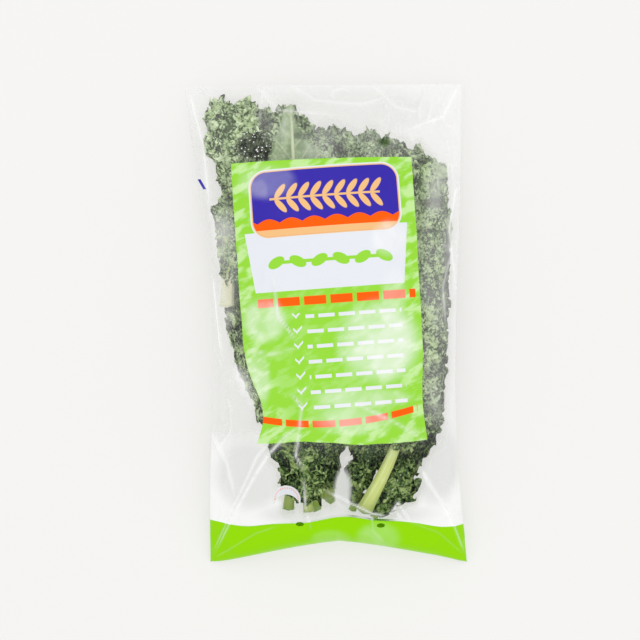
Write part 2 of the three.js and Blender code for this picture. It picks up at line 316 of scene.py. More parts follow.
# Lengths in millimetres of a blade's lobes and ruffles, from the broadest to the finest.
LOBE, SMALL_LOBE = 15, 6
WANDER, RUFFLE, SMALL_RUFFLE = 30, 13, 5.4
VEIN_STEP = 15

# How far below the film a blade starts to flatten, how softly, and how far it may press
# the film out. Then how far the cut end of the short leaf at the left hangs down.
FLATTEN, SOFTLY, PRESS = 1.2, 1.6, 0.6
HANG = 9

# Where the bunch's left edge is pushed in, and where its top is pressed down or stands
# up: the two places of the middle, half width, half height and how many millimetres.
PUSHES = [(-106, 131, 17, 13, 9), (-106, 111, 17, 13, 12), (-108, 62, 15, 42, 5)]
DIPS = [(-13, 184, 14, 20, 11), (98, 150, 20, 14, 6)]
RISES = [(58, 144, 15, 18, 9)]

# Painted shade in the dark places between the leaves, each given the same way with its strength.
SHADED_GAPS = [
    (-62, 148, 16, 14, 0.8),
    (-50, 172, 9, 4, 0.6),
    (-20, 158, 10, 4, 0.5),
    (88, 101, 18, 4, 0.55),
    (84, 78, 9, 4, 0.4),
    (102, 26, 4, 36, 0.35),
    (92, -42, 11, 5, 0.45),
    (88, -72, 14, 4, 0.5),
    (-80, 104, 7, 10, 0.4),
    (-86, -4, 10, 6, 0.4),
]

# One tuft of young leaf, brighter than the rest.
YOUNG = [(49, 153, 6, 5, 1)]


def colour_setting(name, description, default):
    return bpy.props.FloatVectorProperty(
        name=name, description=description, default=default, subtype="COLOR"
    )


def length_setting(name, description, default, least=0):
    return bpy.props.FloatProperty(
        name=name, description=description, default=default, min=least, unit="LENGTH"
    )


class KaleSettings(bpy.types.PropertyGroup):
    """Sizes and colours of the kale."""

    curl: length_setting("Curl", "Height of the smallest curls", 0.0024)
    cell: length_setting(
        "Curl Spacing", "Distance between the smallest curls", 0.0024, least=0.001
    )
    ruffle: length_setting("Ruffle", "Height of the ruffles along a blade's margin", 0.0045)
    spacing: length_setting(
        "Spacing", "Distance between the points of a blade's mesh", 0.0008, least=0.0005
    )
    blade: colour_setting("Blade", "Colour of the blade between its curls", srgb(70, 108, 44))
    # The crest colour is painted highlight on the curls' crests, and the colour for the hollows is painted
    # shade deep between them.
    crest: colour_setting("Crest", "Colour of the curls' pale edges", srgb(210, 232, 150))
    young: colour_setting("Young", "Colour of a young tuft", srgb(98, 150, 2))
    hollow_shade: colour_setting("Hollow", "Colour deep between the curls", srgb(8, 18, 5))
    # The bloom colour on the upper leaves is partly real wax and partly painted light, by the amount set
    # below it.
    bloom: colour_setting(
        "Bloom", "Colour of the wax on the underside and the upper leaves", srgb(222, 240, 196)
    )
    bloom_and_light: bpy.props.FloatProperty(
        name="Dusty", description="How much wax the upper leaves carry",
        subtype="FACTOR", default=0.45, min=0, max=1,
    )
    stalk: colour_setting("Stalk", "Colour of the stalk and midrib", srgb(200, 212, 120))
    vein: colour_setting("Vein", "Colour of the veins on the underside", srgb(202, 214, 176))
    cut: colour_setting("Cut End", "Colour of the stalk's cut end", srgb(232, 232, 196))


class BagSettings(bpy.types.PropertyGroup):
    """Sizes, clearness and printing colours of the film bag."""

    crease: length_setting("Crease", "Height of the film's sharp creases", 0.003)
    haze: bpy.props.FloatProperty(
        name="Haze", description="How milky the film looks beside the leaves",
        subtype="FACTOR", default=0.5, min=0, max=1,
    )
    milk: colour_setting("Milk", "Colour of milky film", srgb(247, 247, 246))
    fold: colour_setting("Fold", "Colour of the film's shaded folds", srgb(206, 208, 204))
    panel: colour_setting("Panel", "Green of the printed panel", srgb(150, 216, 62))
    panel_pale: colour_setting("Panel Pale", "Pale brush marks on the panel", srgb(206, 238, 172))
    band: colour_setting("Band", "Green of the band along the seam", srgb(146, 216, 2))
    navy: colour_setting("Navy", "Blue of the panel's banner", srgb(58, 46, 168))
    tan: colour_setting("Tan", "Tan of the sprig and trim", srgb(240, 190, 130))
    orange: colour_setting("Orange", "Orange of the printed bars", srgb(250, 96, 10))
    white: colour_setting("White", "White of the plate and marks", srgb(226, 229, 235))


class StageSettings(bpy.types.PropertyGroup):
    """The floor, the lights and the camera."""

    floor: colour_setting("Floor", "Colour of the floor", srgb(150, 149, 148))
    glow: bpy.props.FloatProperty(
        name="Glow", description="Light that the pale floor gives as a light table does",
        default=0.575, min=0,
    )
    fill: bpy.props.FloatProperty(
        name="Fill", description="Strength of the light from all round", default=0.95, min=0,
    )
    key: bpy.props.FloatProperty(
        name="Key", description="Power of the main softbox", default=1.2, min=0, unit="POWER",
    )
    lens: bpy.props.FloatProperty(
        name="Lens", description="The camera's focal length in millimetres",
        default=100, min=20,
    )


class Value:
    """A shader socket that adds, multiplies and compares as a number does."""

    def __init__(self, shader, socket):
        self.shader = shader
        self.socket = socket

    def math(self, operation, *others):
        return self.shader.math(operation, self, *others)

    def __add__(self, other):
        return self.math("ADD", other)

    def __sub__(self, other):
        return self.math("SUBTRACT", other)

    def __rsub__(self, other):
        return self.shader.math("SUBTRACT", other, self)

    def __mul__(self, other):
        return self.math("MULTIPLY", other)

    def __truediv__(self, other):
        return self.math("DIVIDE", other)

    def __pow__(self, other):
        return self.math("POWER", other)

    def __lt__(self, other):
        return self.math("LESS_THAN", other)

    def __abs__(self):
        return self.math("ABSOLUTE")

    __radd__ = __add__
    __rmul__ = __mul__

    def clamp(self):
        return self.shader.node("ShaderNodeMath", self, 0, setting=("use_clamp", True))

    def least(self, other):
        return self.math("MINIMUM", other)

    def most(self, other):
        return self.math("MAXIMUM", other)

    def part(self):
        return self.math("FRACT")

    def sine(self):
        return self.math("SINE")

    def ramp(self, low, high):
        """From 0 at low to 1 at high, smoothly."""
        smoothly = ("interpolation_type", "SMOOTHSTEP")
        return self.shader.node("ShaderNodeMapRange", self, low, high, 0, 1, setting=smoothly)


class Shader:
    """A material and the one way in which its nodes are added."""

    def __init__(self, name):
        self.material = bpy.data.materials.new(name)
        self.material.use_nodes = True
        self.nodes = self.material.node_tree.nodes
        self.nodes.clear()

    def node(self, kind, *values, setting=None, out=0, **named):
        """Adds a node, with its one setting first and then its sockets."""
        node = self.nodes.new(kind)
        if setting:
            setattr(node, *setting)
        for i, value in enumerate(values):
            self.put(node.inputs[i], value)
        for key, value in named.items():
            self.put(node.inputs[key.replace("_", " ")], value)
        return Value(self, node.outputs[out])

    def put(self, socket, value):
        if isinstance(value, Value):
            self.material.node_tree.links.new(value.socket, socket)
        elif socket.type == "RGBA":
            socket.default_value = (*value[:3], 1)
        else:
            socket.default_value = value

    def attribute(self, name):
        return self.node("ShaderNodeAttribute", setting=("attribute_name", name), out=2)

    def math(self, operation, *values):
        return self.node("ShaderNodeMath", *values, setting=("operation", operation))

    def mix(self, share, first, second):
        """Goes from the first colour to the second."""
        node = self.nodes.new("ShaderNodeMix")
        node.data_type = "RGBA"
        self.put(node.inputs[0], share)
        self.put(node.inputs[6], first)
        self.put(node.inputs[7], second)
        return Value(self, node.outputs[2])

    def place(self):
        return self.node("ShaderNodeTexCoord", out=3)

    def noise(self, vector, scale, detail=3, rough=0.5):
        return self.node(
            "ShaderNodeTexNoise", Vector=vector, Scale=scale, Detail=detail, Roughness=rough
        )

    def cells(self, vector, scale):
        return self.node("ShaderNodeTexVoronoi", Vector=vector, Scale=scale, Randomness=1)

    def vector(self, x, y, z=0.0):
        return self.node("ShaderNodeCombineXYZ", x, y, z)

    def part(self, vector, axis):
        return self.node("ShaderNodeSeparateXYZ", vector, out=axis)

    def bump(self, height, distance, strength):
        return self.node(
            "ShaderNodeBump", Strength=strength, Distance=distance, Height=height
        )

    def principled(self, **named):
        return self.node("ShaderNodeBsdfPrincipled", **named)

    def surface(self, shader):
        output = self.nodes.new("ShaderNodeOutputMaterial")
        self.put(output.inputs["Surface"], shader)
        return self.material


class Cover:
    """Which places of the bag have leaves under them, on a fine grid."""

    step = 1.5
    low = (-126.0, -210.0)
    shape = (168, 280)

    def __init__(self):
        self.full = np.zeros(self.shape)

    def on_grid(self, x, y):
        a, b = (x - self.low[0]) / self.step, (y - self.low[1]) / self.step
        return np.clip(a, 0, self.shape[0] - 1.01), np.clip(b, 0, self.shape[1] - 1.01)

    def add(self, piece):
        flat = np.empty(len(piece.data.vertices) * 3)
        piece.data.vertices.foreach_get("co", flat)
        x, y = flat.reshape(-1, 3)[:, :2].T / MM
        i, j = np.round(self.on_grid(x, y)).astype(int)
        self.full[i, j] = 1

    def soften(self):
        for axis in (0, 1) * 5:
            ahead, behind = np.roll(self.full, 1, axis), np.roll(self.full, -1, axis)
            self.full = (ahead + 2 * self.full + behind) / 4
        self.full = np.minimum(1.7 * self.full, 1)

    def share(self, x, y):
        """1 over the leaves, falling to 0 just outside them."""
        a, b = self.on_grid(x, y)
        i, j = a.astype(int), b.astype(int)
        f, g = a - i, b - j
        near = self.full[i, j] * (1 - f) + self.full[i + 1, j] * f
        far = self.full[i, j + 1] * (1 - f) + self.full[i + 1, j + 1] * f
        return near * (1 - g) + far * g


COVER = Cover()


def grid_piece(name, columns, rows, shape):
    """A grid shaped by a formula of its own two coordinates.

    shape gets where each point is across (-1 to 1) and along (0 to 1), and gives the
    points in millimetres with the values that are stored on them.
    """
    bpy.ops.object.select_all(action="DESELECT")
    bpy.ops.mesh.primitive_grid_add(x_subdivisions=columns, y_subdivisions=rows, size=2)
    piece = bpy.context.object
    piece.name = name
    mesh = piece.data
    mesh.name = name
    while mesh.uv_layers:
        mesh.uv_layers.remove(mesh.uv_layers[0])
    flat = np.empty(len(mesh.vertices) * 3)
    mesh.vertices.foreach_get("co", flat)
    flat = flat.reshape(-1, 3)
    points, values = shape(flat[:, 0], (flat[:, 1] + 1) / 2)
    mesh.vertices.foreach_set("co", (np.column_stack(points) * MM).ravel())
    for key, value in values.items():
        mesh.attributes.new(key, "FLOAT", "POINT").data.foreach_set("value", value)
    mesh.shade_smooth()
    mesh.update()
    return piece


def in_edit_mode(piece, *steps):
    """Runs edit-mode steps on all of one piece."""
    bpy.ops.object.select_all(action="DESELECT")
    piece.select_set(True)
    bpy.context.view_layer.objects.active = piece
    bpy.ops.object.mode_set(mode="EDIT")
    bpy.ops.mesh.select_all(action="SELECT")
    for step in steps:
        step()
    bpy.ops.object.mode_set(mode="OBJECT")


def finish_piece(piece, node, material):
    piece.data.materials.append(material)
    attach(piece, "root")
    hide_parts(node)


def all_leaves():
    for number, settings in enumerate(LEAVES, 1):
        yield Leaf(number, *settings)


def blade_shape(leaf, kale):
    """The formula of one curled blade."""
    curl, ruffle, cell = kale.curl / MM, kale.ruffle / MM, kale.cell / MM
    if leaf.small:
        curl, cell = SMALL_CURL * curl, SMALL_CELL * cell
    seed = leaf.number * 17

    def shape(t, s):
        # Rows and columns are closer together towards the tip and the margins.
        t = np.sign(t) * (1 - (1 - np.abs(t)) ** 1.15)
        s = s + 0.06 * np.sin(np.pi * s)
        side = np.where(t < 0, -1, 1)
        reach = np.abs(t)
        along = leaf.blade_length * s
        half = np.where(t < 0, *leaf.half_width) * leaf.outline(s, side)
        half += leaf.spread * (1 - 0.5 * smooth(0.75, 1, s))
        lobes = 4.5 * noise(along / LOBE, side * 3.5, seed)
        lobes += 2.4 * noise(along / SMALL_LOBE, side * 5.5, seed + 1)
        out = half * reach + lobes * reach**3

        # Ruffles grow towards the margin, each finer than the one before.
        wander = 0.5 * noise(along / WANDER, reach * 1.5 + side * 9, seed + 2)
        second = 2 * np.pi * (along / RUFFLE + wander) + 3 * reach
        wander = 0.7 * noise(along / 11, reach * 4 + side * 9, seed + 3)
        third = 2 * np.pi * (along / SMALL_RUFFLE + wander)
        if leaf.turned:
            start = np.where(t > 0, 0.5, 0.82) - 0.45 * smooth(0.82, 0.97, s)
            lively = smooth(start, start + 0.25, reach)
        else:
            lively = 0.6 + 0.4 * smooth(0.02, 0.2, reach)
        lift = ruffle * lively * (0.3 + 0.7 * reach) * np.sin(second)
        lift += 0.4 * ruffle * lively * reach * np.sin(third)
        shift = 0.5 * ruffle * lively * reach * np.cos(second)
        shift += 0.35 * ruffle * lively * reach * np.cos(third)

        p = leaf.bare + (1 - leaf.bare) * s * TIP
        hx, hy = leaf.heading(p)
        sweep = 0.2 + (0.25 if leaf.turned else 0.5) * s**3
        ahead = np.sin(sweep) * out + shift
        if leaf.turned:
            ahead += 7 * smooth(0.85, 1, s) * (1 - reach)
        aside = np.cos(sweep) * out * side
        y = leaf.y(p) + hy * ahead - hx * aside
        x = tucked(leaf.x(p) + hx * ahead + hy * aside, y)
        x = x + patches(PUSHES, x, y)
        y = y + patches(RISES, x, y) - patches(DIPS, x, y)
        low, high = room(x, y)

        # Curls: crests that wander over the blade in all directions.
        a, b = x / cell, y / cell
        bend = 0.9 * noise(a * 0.5, b * 0.5, seed + 4)
        crest = ridges(a + bend, b - bend, seed + 5)
        small = ridges(a * 1.7 + 2 * bend, b * 1.7, seed + 6)
        ridge = np.clip(0.7 * crest + 0.5 * small, 0, 1)
        lift += curl * lively * (1.6 * ridge - 0.6)
        x = x + 0.75 * curl * lively * noise(a * 0.8, b * 0.8, seed + 7)
        y = y + 0.75 * curl * lively * noise(a * 0.8, b * 0.8, seed + 8)
        level = leaf.level(p) + FRILL * leaf.away * leaf.frill(s, t)
        z = low + (high - low) * level + lift
        z = np.maximum(z, low - PRESS + 0.05 * (z - low))
        start = high - FLATTEN
        over = np.maximum(z - start, 0)
        z = np.where(over > 0, start + SOFTLY * (1 - np.exp(-over / SOFTLY)), z)
        z = np.minimum(z, high + PRESS)

        # Veins run from the midrib up to the margin, one a step.
        bent = along - 0.9 * out + 3 * noise(along / 14, out / 9, seed + 9)
        vein = np.abs(bent / VEIN_STEP + 0.2 * side) % 1
        vein = np.exp(-(((vein - 0.5) * VEIN_STEP / 1.5) ** 2)) * (1 - smooth(0.6, 0.95, reach))
        rib = np.exp(-((out / (1.4 + 2.4 * (1 - s))) ** 2))
        if leaf.turned:
            z = z + 0.9 * vein * (1 - lively)
        fading = 1 if leaf.turned else 3
        # The deep value is painted shade between the leaves.
        return (x, y, z), {
            "crest": ridge,
            "deep": patches(SHADED_GAPS, x, y),
            "young": patches(YOUNG, x, y),
            "lively": lively,
            "vein": np.clip(0.75 * vein + rib, 0, 1) * (1 - lively) ** fading,
        }

    return shape


def stalk_shape(leaf):
    """The formula of one ribbed stalk, which runs on as the blade's midrib."""
    ribs = 6
    short = leaf.y(0) > 0
    cream = 0.11 if short else 0.01
    end = 0.97 if leaf.turned else leaf.bare + (1 - leaf.bare) * 0.8

    def shape(t, s):
        angle = np.pi * t
        closing = smooth(-0.002, 0.012, s)
        p = end * s
        taper = leaf.stalk * (0.5 - 0.4 * s**0.8)
        half = taper * closing * (1 + 0.07 * np.cos(ribs * angle) * (1 - s))
        half = half * (1 + 0.12 * np.exp(-s * 18))
        hx, hy = leaf.heading(p)
        hang = HANG * (1 - smooth(0, 0.15, s)) if short else 0
        x = leaf.x(p) + hy * half * np.cos(angle) - 0.3 * hang
        y = leaf.y(p) - hx * half * np.cos(angle) - hang
        low, high = room(x, y)
        drop = LEAF / 2 + 0.1 + 0.72 * taper * (1 - np.sin(angle) * closing)
        z = low + (high - low) * leaf.level(p) - leaf.away * drop + 0.4 * hang
        return (x, y, z), {"along": s, "around": t, "flesh": 1 - smooth(cream, 1.6 * cream, s)}

    return shape


def blade_material(name, kale, under):
    """Leaf with a painted highlight on its curls' crests over painted shade in their hollows, waxier
    towards the tips, where the wax is partly painted light.
    """
    shader = Shader(name)
    place = shader.place()
    lively = shader.attribute("lively")
    vein = shader.attribute("vein")
    along = shader.part(place, 1)
    broad = shader.noise(place, 26, 3)
    clump = shader.noise(place, 110, 2)
    fine = shader.noise(place, 420, 3, 0.6)
    thread = (1 - abs(shader.noise(place, 300, 2) - 0.5) * 7).clamp()
    grain = shader.cells(place, 390)
    # The curls carry painted light: a painted highlight on their crests and painted shade in their
    # hollows, with less highlight and more shade on the lowest leaves.
    curl = shader.attribute("crest") * 0.55 + thread * 0.15 + (fine - 0.5) * 0.5
    lower = 1 - along.ramp(-0.12, -0.09)
    lobe = shader.noise(place, 55, 2)
    curl = curl + (0.62 - grain) * 0.75 + (clump - 0.5) * 0.6 + (lobe - 0.5) * 0.8 - lower * 0.03
    curly = shader.mix(curl.ramp(0.05, 0.3), kale.hollow_shade, kale.blade)
    pale = curl.ramp(0.32, 0.6) * (0.6 + 0.4 * along.ramp(-0.12, -0.05))
    curly = shader.mix(pale, curly, kale.crest)
    # Wax bloom on the upper leaves, partly real wax and partly painted light: it is stronger on the curls'
    # crests and brighter towards the top of the bunch.
    upper = along.ramp(-0.108, -0.07) * (1 + 0.3 * along.ramp(0.1, 0.15)) * kale.bloom_and_light
    curly = shader.mix(upper * (0.2 + 1.4 * curl.ramp(0.12, 0.6)), curly, kale.bloom)
    plain = kale.bloom if under else kale.blade
    mosaic = (broad * 0.4 + clump * 0.4 + fine * 0.2).ramp(0.4, 0.6)
    flat = shader.mix(0.42 + 0.36 * mosaic, plain, kale.blade)
    colour = shader.mix(lively, flat, curly)
    colour = shader.mix(vein * 0.8, colour, kale.vein if under else kale.stalk)
    tuft = shader.attribute("young") * (0.6 + 0.4 * curl.ramp(0, 0.4))
    colour = shader.mix(tuft, colour, kale.young)
    # Painted shade in the dark places between the leaves.
    colour = shader.mix(shader.attribute("deep"), colour, kale.hollow_shade)
    bump = shader.bump(thread * 0.6 + fine + vein, 0.0006, 0.7)
    surface = shader.principled(Base_Color=colour, Roughness=0.4 + 0.25 * fine, Normal=bump)
    return shader.surface(surface)


def stalk_material(kale):
    """Pale fibrous stalk with a cream cut end."""
    shader = Shader("kale_stalk")
    place = shader.place()
    along = shader.attribute("along")
    flesh = shader.attribute("flesh")
    fibre = shader.vector(shader.attribute("around") * 9, along * 2.5, shader.part(place, 2))
    streak = shader.noise(fibre, 1, 3, 0.6)
    mottle = shader.noise(place, 60, 4)
    colour = shader.mix(along.ramp(0.3, 0.6), kale.stalk, kale.vein)
    waxy = mottle.ramp(0.35, 0.8) * 0.3 + streak.ramp(0.5, 0.7) * 0.5
    colour = shader.mix(waxy, colour, kale.bloom)
    colour = shader.mix(streak.ramp(0.5, 0.25) * 0.2, colour, kale.blade)
    colour = shader.mix(flesh, colour, kale.cut)
    grain = shader.noise(place, 500, 2)
    surface = shader.principled(
        Base_Color=colour, Roughness=0.35 + 0.2 * along, Normal=shader.bump(grain, 0.0003, 0.5)
    )
    return shader.surface(surface)


# Creases of the film as seen from above: points, height share and half width.
CREASES = [
    ([(-99, -201), (-80, -160), (-66, -130), (-58, -112), (-46, -98)], 0.9, 1.8),
    ([(52, -162), (60, -150), (74, -172)], 0.9, 1.6),
    ([(38, -160), (40, -176), (50, -186)], 0.6, 2.2),
    ([(-98, -203), (-75, -156), (-58, -125), (-47, -108), (-34, -94), (-20, -84)], 1, 2.2),
    ([(-98, -203), (-60, -178), (-38, -170)], 0.5, 1.8),
    ([(120, -200), (104, -160), (86, -134), (78, -118)], 1, 2.2),
    ([(120, -200), (96, -178), (72, -168), (52, -162)], 0.45, 1.8),
    ([(52, -162), (58, -157), (66, -168)], 0.8, 1.6),
    ([(-19, -128), (-17, -155), (-11, -181)], 0.6, 1.4),
    ([(0, -139), (38, -159), (52, -162)], 0.9, 1.8),
    ([(-44, 40), (-40, 6), (-22, -18)], 0.8, 1.7),
    ([(-30, -58), (-20, -68), (-25, -110), (-19, -122)], 0.8, 1.7),
    ([(-66, -22), (-46, -26), (-22, -20)], 0.5, 2.2),
    ([(24, -66), (60, -84), (82, -98)], 0.6, 2.2),
    ([(-112, -60), (-100, -90), (-84, -118), (-76, -150)], 0.7, 2.2),
    ([(-96, 40), (-92, 0), (-88, -30)], 0.7, 2),
    ([(106, 60), (98, 30), (101, -6)], 0.35, 2),
    ([(112, 120), (104, 80), (110, 30)], 0.6, 2.2),
    ([(-118, 200), (-104, 150), (-98, 90)], 0.6, 3),
    ([(114, 204), (100, 176), (70, 164)], 0.6, 3),
    ([(-60, 204), (-40, 180), (10, 176)], 0.4, 3.5),
    ([(40, 205), (60, 184), (84, 178)], 0.4, 3),
    ([(-30, 204), (-10, 190), (30, 186), (60, 196)], 0.4, 3),
]


def crease_height(x, y, spread=1.0):
    """How far the creases stand out of the film over a place."""
    height = np.zeros_like(x)
    for points, share, width in CREASES:
        count = len(points) - 1
        for k in range(count):
            (ax, ay), (bx, by) = points[k], points[k + 1]
            dx, dy = bx - ax, by - ay
            f = np.clip(((x - ax) * dx + (y - ay) * dy) / (dx * dx + dy * dy), 0, 1)
            d = np.hypot(x - ax - f * dx, y - ay - f * dy)
            along = (k + f) / count
            fade = smooth(0, 0.12, along) * (1 - smooth(0.75, 1, along))
            crease = share * np.exp(-d / (width * spread)) * (0.15 + 0.85 * fade)
            height = np.maximum(height, crease)
    return height


# Where the film is milky over the leaves, where there are no leaves between them, where
# painted shade makes it greyer beside them, and where painted reflections lie over the
# printing: the two places of the middle, half width, half height and strength.
MILKY = [
    (102, 60, 24, 110, 0.3),
    (100, -40, 24, 60, 0.14),
    (-92, 45, 22, 62, 0.42),
    (-78, -64, 19, 30, 0.85),
    (-96, -20, 12, 24, 0.4),
    (30, 148, 62, 26, 0.17),
    (-40, 170, 22, 24, 0.1),
]
GAPS = [(14, -138, 8, 20, 0.9)]
PAINTED_FILM_SHADE = [
    (16, -132, 14, 26, 0.95),
    (-64, -128, 34, 34, 0.6),
    (92, -118, 26, 40, 0.6),
    (16, -160, 80, 14, 0.6),
    (20, 180, 84, 26, 0.3),
]
# Painted reflections: pale patches of reflected light over the printing.
PAINTED_GLARES = [
    (44, -16, 36, 36, 0.8),
    (30, -62, 44, 9, 0.5),
    (-52, 2, 20, 20, 0.55),
    (-58, -48, 13, 26, 0.45),
    (-50, 118, 26, 16, 0.3),
    (52, 70, 16, 16, 0.5),
    (20, -80, 34, 14, 0.4),
    (56, 20, 12, 30, 0.4),
    (4, -182, 18, 9, 0.14),
    (44, -182, 20, 16, 0.2),
]


def patches(spots, x, y):
    """The strongest of some soft round patches over a place."""
    value = np.zeros_like(x)
    for cx, cy, half_width, half_height, strength in spots:
        far = np.hypot((x - cx) / half_width, (y - cy) / half_height)
        value = np.maximum(value, strength * (1 - smooth(0.6, 1.1, far)))
    return value


def crumple(x, y):
    """Facets and folds of slack film, from 0 to about 1."""
    warp_x = 9 * noise(x / 38, y / 38, 31)
    warp_y = 9 * noise(x / 38, y / 38, 32)
    large = ridges((x + warp_x) / 34, (y + warp_y) / 52, 33)
    middle = ridges((x + 1.4 * warp_x) / 15, (y - warp_y) / 24, 34)
    small = ridges((x - warp_x) / 7, (y + warp_x) / 9, 35)
    return 0.6 * large + 0.3 * middle + 0.06 * small


def crinkle(x, y, seed):
    """Thin lines where slack film is folded sharply."""
    warp_x = 14 * noise(x / 42, y / 42, seed)
    warp_y = 14 * noise(x / 42, y / 42, seed + 1)
    long = ridges((x + warp_x) / 21, (y + warp_y) / 46, seed + 2) ** 5
    short = ridges((x - warp_y) / 9, (y + warp_x) / 15, seed + 3) ** 5
    broken = smooth(-0.2, 0.4, noise(x / 25, y / 30, seed + 4))
    return np.maximum(long, 0.4 * short) * broken


def film_shape(bag):
    """The formula of the bag: across runs right round it, from side to side."""
    crease = bag.crease / MM

    def shape(t, s):
        turn = 2 * FRONT_COLUMNS - 1
        front = t < turn
        u = np.where(front, (t + 1) / FRONT_COLUMNS - 1, 1 - (t - turn) / (1 - FRONT_COLUMNS))
        side = np.abs(u)
        v = s - 0.09 * np.sin(2 * np.pi * s)
        middle, half = span(v)
        x = middle + half * np.sin(np.pi * u / 2)
        y = bottom_edge(u) + (top_edge(u) - bottom_edge(u)) * v
        # The seam runs nearly straight from its peak to the two corners.
        sag = 4.5 * np.sin(np.pi * np.minimum(side / 0.9, 1)) + 4 * smooth(0.5, 1, u)
        y = y - sag * (1 - smooth(0, 0.13, v))
        z = np.where(front, front_height(u, v), back_height(u, v))
        edge = 1 - side**6
        slack = 0.35 + 0.9 * smooth(0.45, 0.9, side) + 0.5 * smooth(0.8, 0.95, v)
        slack *= edge * smooth(0, 0.03, v)
        rise = crease * (slack * (1.7 * crumple(x, y) - 0.5) + edge * 1.2 * crease_height(x, y))
        # Creases and folds lift the front, lean out at the sides and spare the flat back.
        lean = np.sin(np.pi * u / 2) * smooth(0.55, 1, side)
        z += rise * np.where(front, 1 - 0.5 * np.abs(lean), 0.25 * smooth(FLAT_SHARE, 0.7, side))
        x = x + 0.5 * np.where(front, 1, 0.4) * rise * lean

        # Over the leaves the film is milky in patches, and beside them it is hazy.
        milk = patches(MILKY, x, y) * (0.7 + 0.6 * noise(x / 13, y / 20, 51))
        milk += 0.03 * smooth(-115, -95, y) * smooth(8, 24, np.hypot(x - HEAD[0], y - HEAD[1]))
        covered = COVER.share(x, y) * (1 - patches(GAPS, x, y))
        bare = bag.haze * (0.25 + 0.75 * smooth(-100, 40, x))
        bare = bare + (0.85 - bare) * smooth(-85, -115, y)
        # The film lies close and clear over the young tuft.
        milk = (milk * covered + bare * (1 - covered)) * (1 - 0.9 * patches(YOUNG, x, y))

        # Painted white highlights along the creases and crinkles, real shine, painted reflections over the
        # printing, and painted shade.
        loose = np.maximum(smooth(0.5, 0.75, side), 0.5 * smooth(0.86, 0.92, v))
        loose = loose * (0.3 + 0.7 * smooth(-110, -80, y))
        crease_highlights = np.maximum(1.3 * crease_height(x, y, 0.42), 0.8 * loose * crinkle(x, y, 41))
        streak = noise((x + 0.7 * y) / 9 + noise(x / 20, y / 20, 53), (y - 0.6 * x) / 24, 52)
        sheen = (0.12 + 0.43 * smooth(-125, -100, y)) * covered + 0.6 * (1 - covered)
        glare = patches(PAINTED_GLARES, x, y) * (0.65 + 0.35 * smooth(-0.25, 0.2, streak))
        # Painted shade: grey patches beside and between the leaves, and dark lines just beside each
        # crinkle's painted highlight.
        shade = np.maximum(patches(PAINTED_FILM_SHADE, x, y), loose * crinkle(x + 2.2, y - 1.5, 41))
        values = {"front": front.astype(float), "sheet_x": x, "sheet_y": y}
        # Each look of the front, and its value on the back.
        for key, value, back in (
            ("milk", milk, 0.02),
            ("sheen", sheen, 0.15),
            ("glare", glare, 0),
            ("ridge", crease_highlights, 0),
            ("shade", shade, 0),
        ):
            values[key] = np.where(front, np.clip(value, 0, 1), back)
        return (x, y, np.maximum(z, 0)), values

    return shape


# The panel's middle and its lean to the left towards its top, the head of the upper left
# leaf, the crescent and the dash. Then the distances from one row of white bars to the
# next, from one orange bar to the next, and from one white bar to the next.
PANEL = (3.8, 20.2)
PANEL_LEAN = 0.0715
HEAD = (-62, 150)
CRESCENT = (-33, -147)
DASH = (-105.5, 118)
ROW_STEP, BAR_STEP, WORD_STEP = 12.6, 22, 17


class Sheet:
    """Printing on the film, in millimetres on the flat front."""

    def __init__(self, shader):
        self.x = shader.attribute("sheet_x")
        self.y = shader.attribute("sheet_y")
        x, y = self.from_place(PANEL)
        self.up = x * -PANEL_LEAN + y * 0.9974
        self.right = x + y * PANEL_LEAN

    def from_place(self, place):
        return self.x - place[0], self.y - place[1]

    def box(self, x, y, half_width, half_height, corner=0.0):
        """How far inside a rounded box each point is."""
        right = abs(self.right - x) - (half_width - corner)
        up = abs(self.up - y) - (half_height - corner)
        outside = (right.most(0) ** 2 + up.most(0) ** 2) ** 0.5
        return corner - outside - right.most(up).least(0)

    def oval(self, x, y, half_width, half_height, turn):
        c, s = math.cos(turn), math.sin(turn)
        a = ((self.right - x) * c + (self.up - y) * s) / half_width
        b = ((self.up - y) * c - (self.right - x) * s) / half_height
        return (1 - (a * a + b * b) ** 0.5) * min(half_width, half_height)


def inked(inside, edge=0.25):
    """1 inside a printed shape and 0 outside it, with a slightly soft edge."""
    return inside.ramp(-edge, edge)


